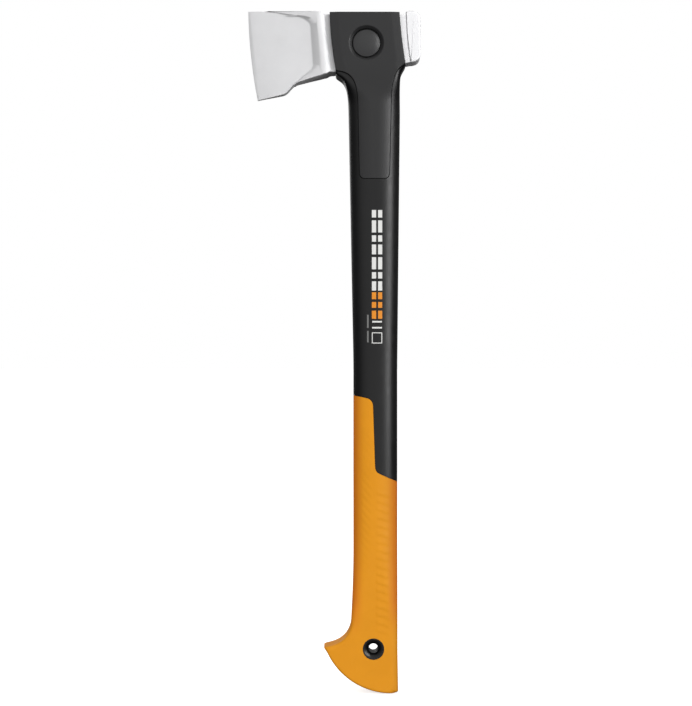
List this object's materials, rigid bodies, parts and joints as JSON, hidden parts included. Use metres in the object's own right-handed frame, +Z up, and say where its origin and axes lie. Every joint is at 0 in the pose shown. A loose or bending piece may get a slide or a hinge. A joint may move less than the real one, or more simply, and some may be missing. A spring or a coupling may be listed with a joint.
{
  "type": "splitting axe",
  "caption": "Short splitting axe: forged wedge head held in a moulded two-part socket on a hollow shaft, with a soft hooked grip and a hanging hole.",
  "frame": {"origin": "centre of the hanging hole through the knob, on the mid-plane of the axe", "axes": "+Z up the handle to the head, the cutting edge faces -X and the poll +X, +Y across the thickness"},
  "size_m": [0.151, 0.0366, 0.5961],
  "materials": {
    "head_steel": "forged steel, fine blasted, clear lacquer",
    "pin_steel": "rolled tube, zinc plated",
    "socket_nylon": "glass-filled nylon, fine spark-eroded grain",
    "cap_nylon": "nylon, smooth",
    "shaft_nylon": "glass-filled nylon, semi gloss",
    "plug_nylon": "nylon, smooth and glossy in the hanging hole",
    "grip_elastomer": "soft-touch thermoplastic elastomer, satin, embossed ridges"
  },
  "bodies": {
    "root": {"axe_head": "head_steel", "socket_cover_front": "socket_nylon", "socket_cover_rear": "socket_nylon", "cross_pin": "pin_steel", "pin_cap_front": "cap_nylon", "pin_cap_rear": "cap_nylon", "handle_shaft": "shaft_nylon", "end_plug": "plug_nylon", "grip_sleeve": "grip_elastomer"}
  },
  "joints": []
}
